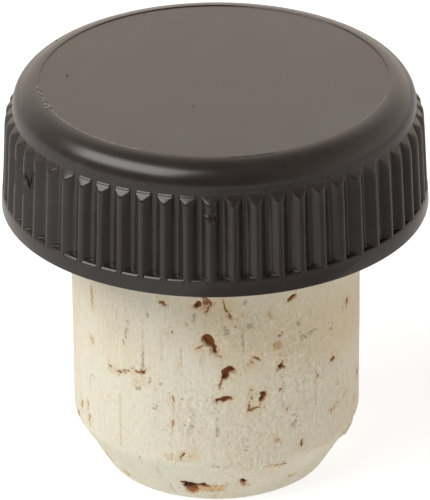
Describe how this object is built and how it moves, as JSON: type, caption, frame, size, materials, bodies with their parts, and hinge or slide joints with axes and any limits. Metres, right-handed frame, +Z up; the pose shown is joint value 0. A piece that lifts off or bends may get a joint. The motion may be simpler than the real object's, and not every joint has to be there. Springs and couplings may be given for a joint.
{
  "type": "cork stopper",
  "caption": "Bottle stopper: a straight natural cork shank with a tapered lead-in, glued in a round ribbed plastic cap that is pulled by hand.",
  "frame": {"origin": "centre of the cork's flat lower end, which the stopper stands on", "axes": "+Z up along the stopper's axis towards the cap's flat top, -Y towards the side with the chipped lead-in"},
  "size_m": [0.029, 0.029, 0.0283],
  "materials": {
    "cap_plastic": "satin near-black injection-moulded plastic",
    "natural_cork": "pale washed natural cork with open brown lenticels"
  },
  "bodies": {
    "root": {"cap": "cap_plastic", "cork": "natural_cork"}
  },
  "joints": []
}
